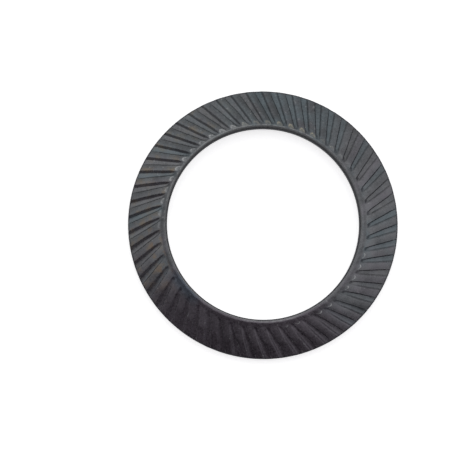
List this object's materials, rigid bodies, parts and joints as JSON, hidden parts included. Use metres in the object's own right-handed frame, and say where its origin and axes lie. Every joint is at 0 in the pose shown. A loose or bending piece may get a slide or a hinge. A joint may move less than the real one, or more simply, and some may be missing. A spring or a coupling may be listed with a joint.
{
  "type": "serrated safety washer",
  "caption": "Coned spring steel locking washer with skewed serrations on both faces and a plain round hole for a bolt.",
  "frame": {"origin": "on the washer's axis, in the plane of the foot that it rests on", "axes": "+Z along the axis of the hole, out through the raised face; +X and +Y in the plane of the foot"},
  "size_m": [0.036, 0.036, 0.003],
  "materials": {
    "washer": "blackened spring steel, semi-matte"
  },
  "bodies": {
    "root": {"washer": "washer"}
  },
  "joints": []
}
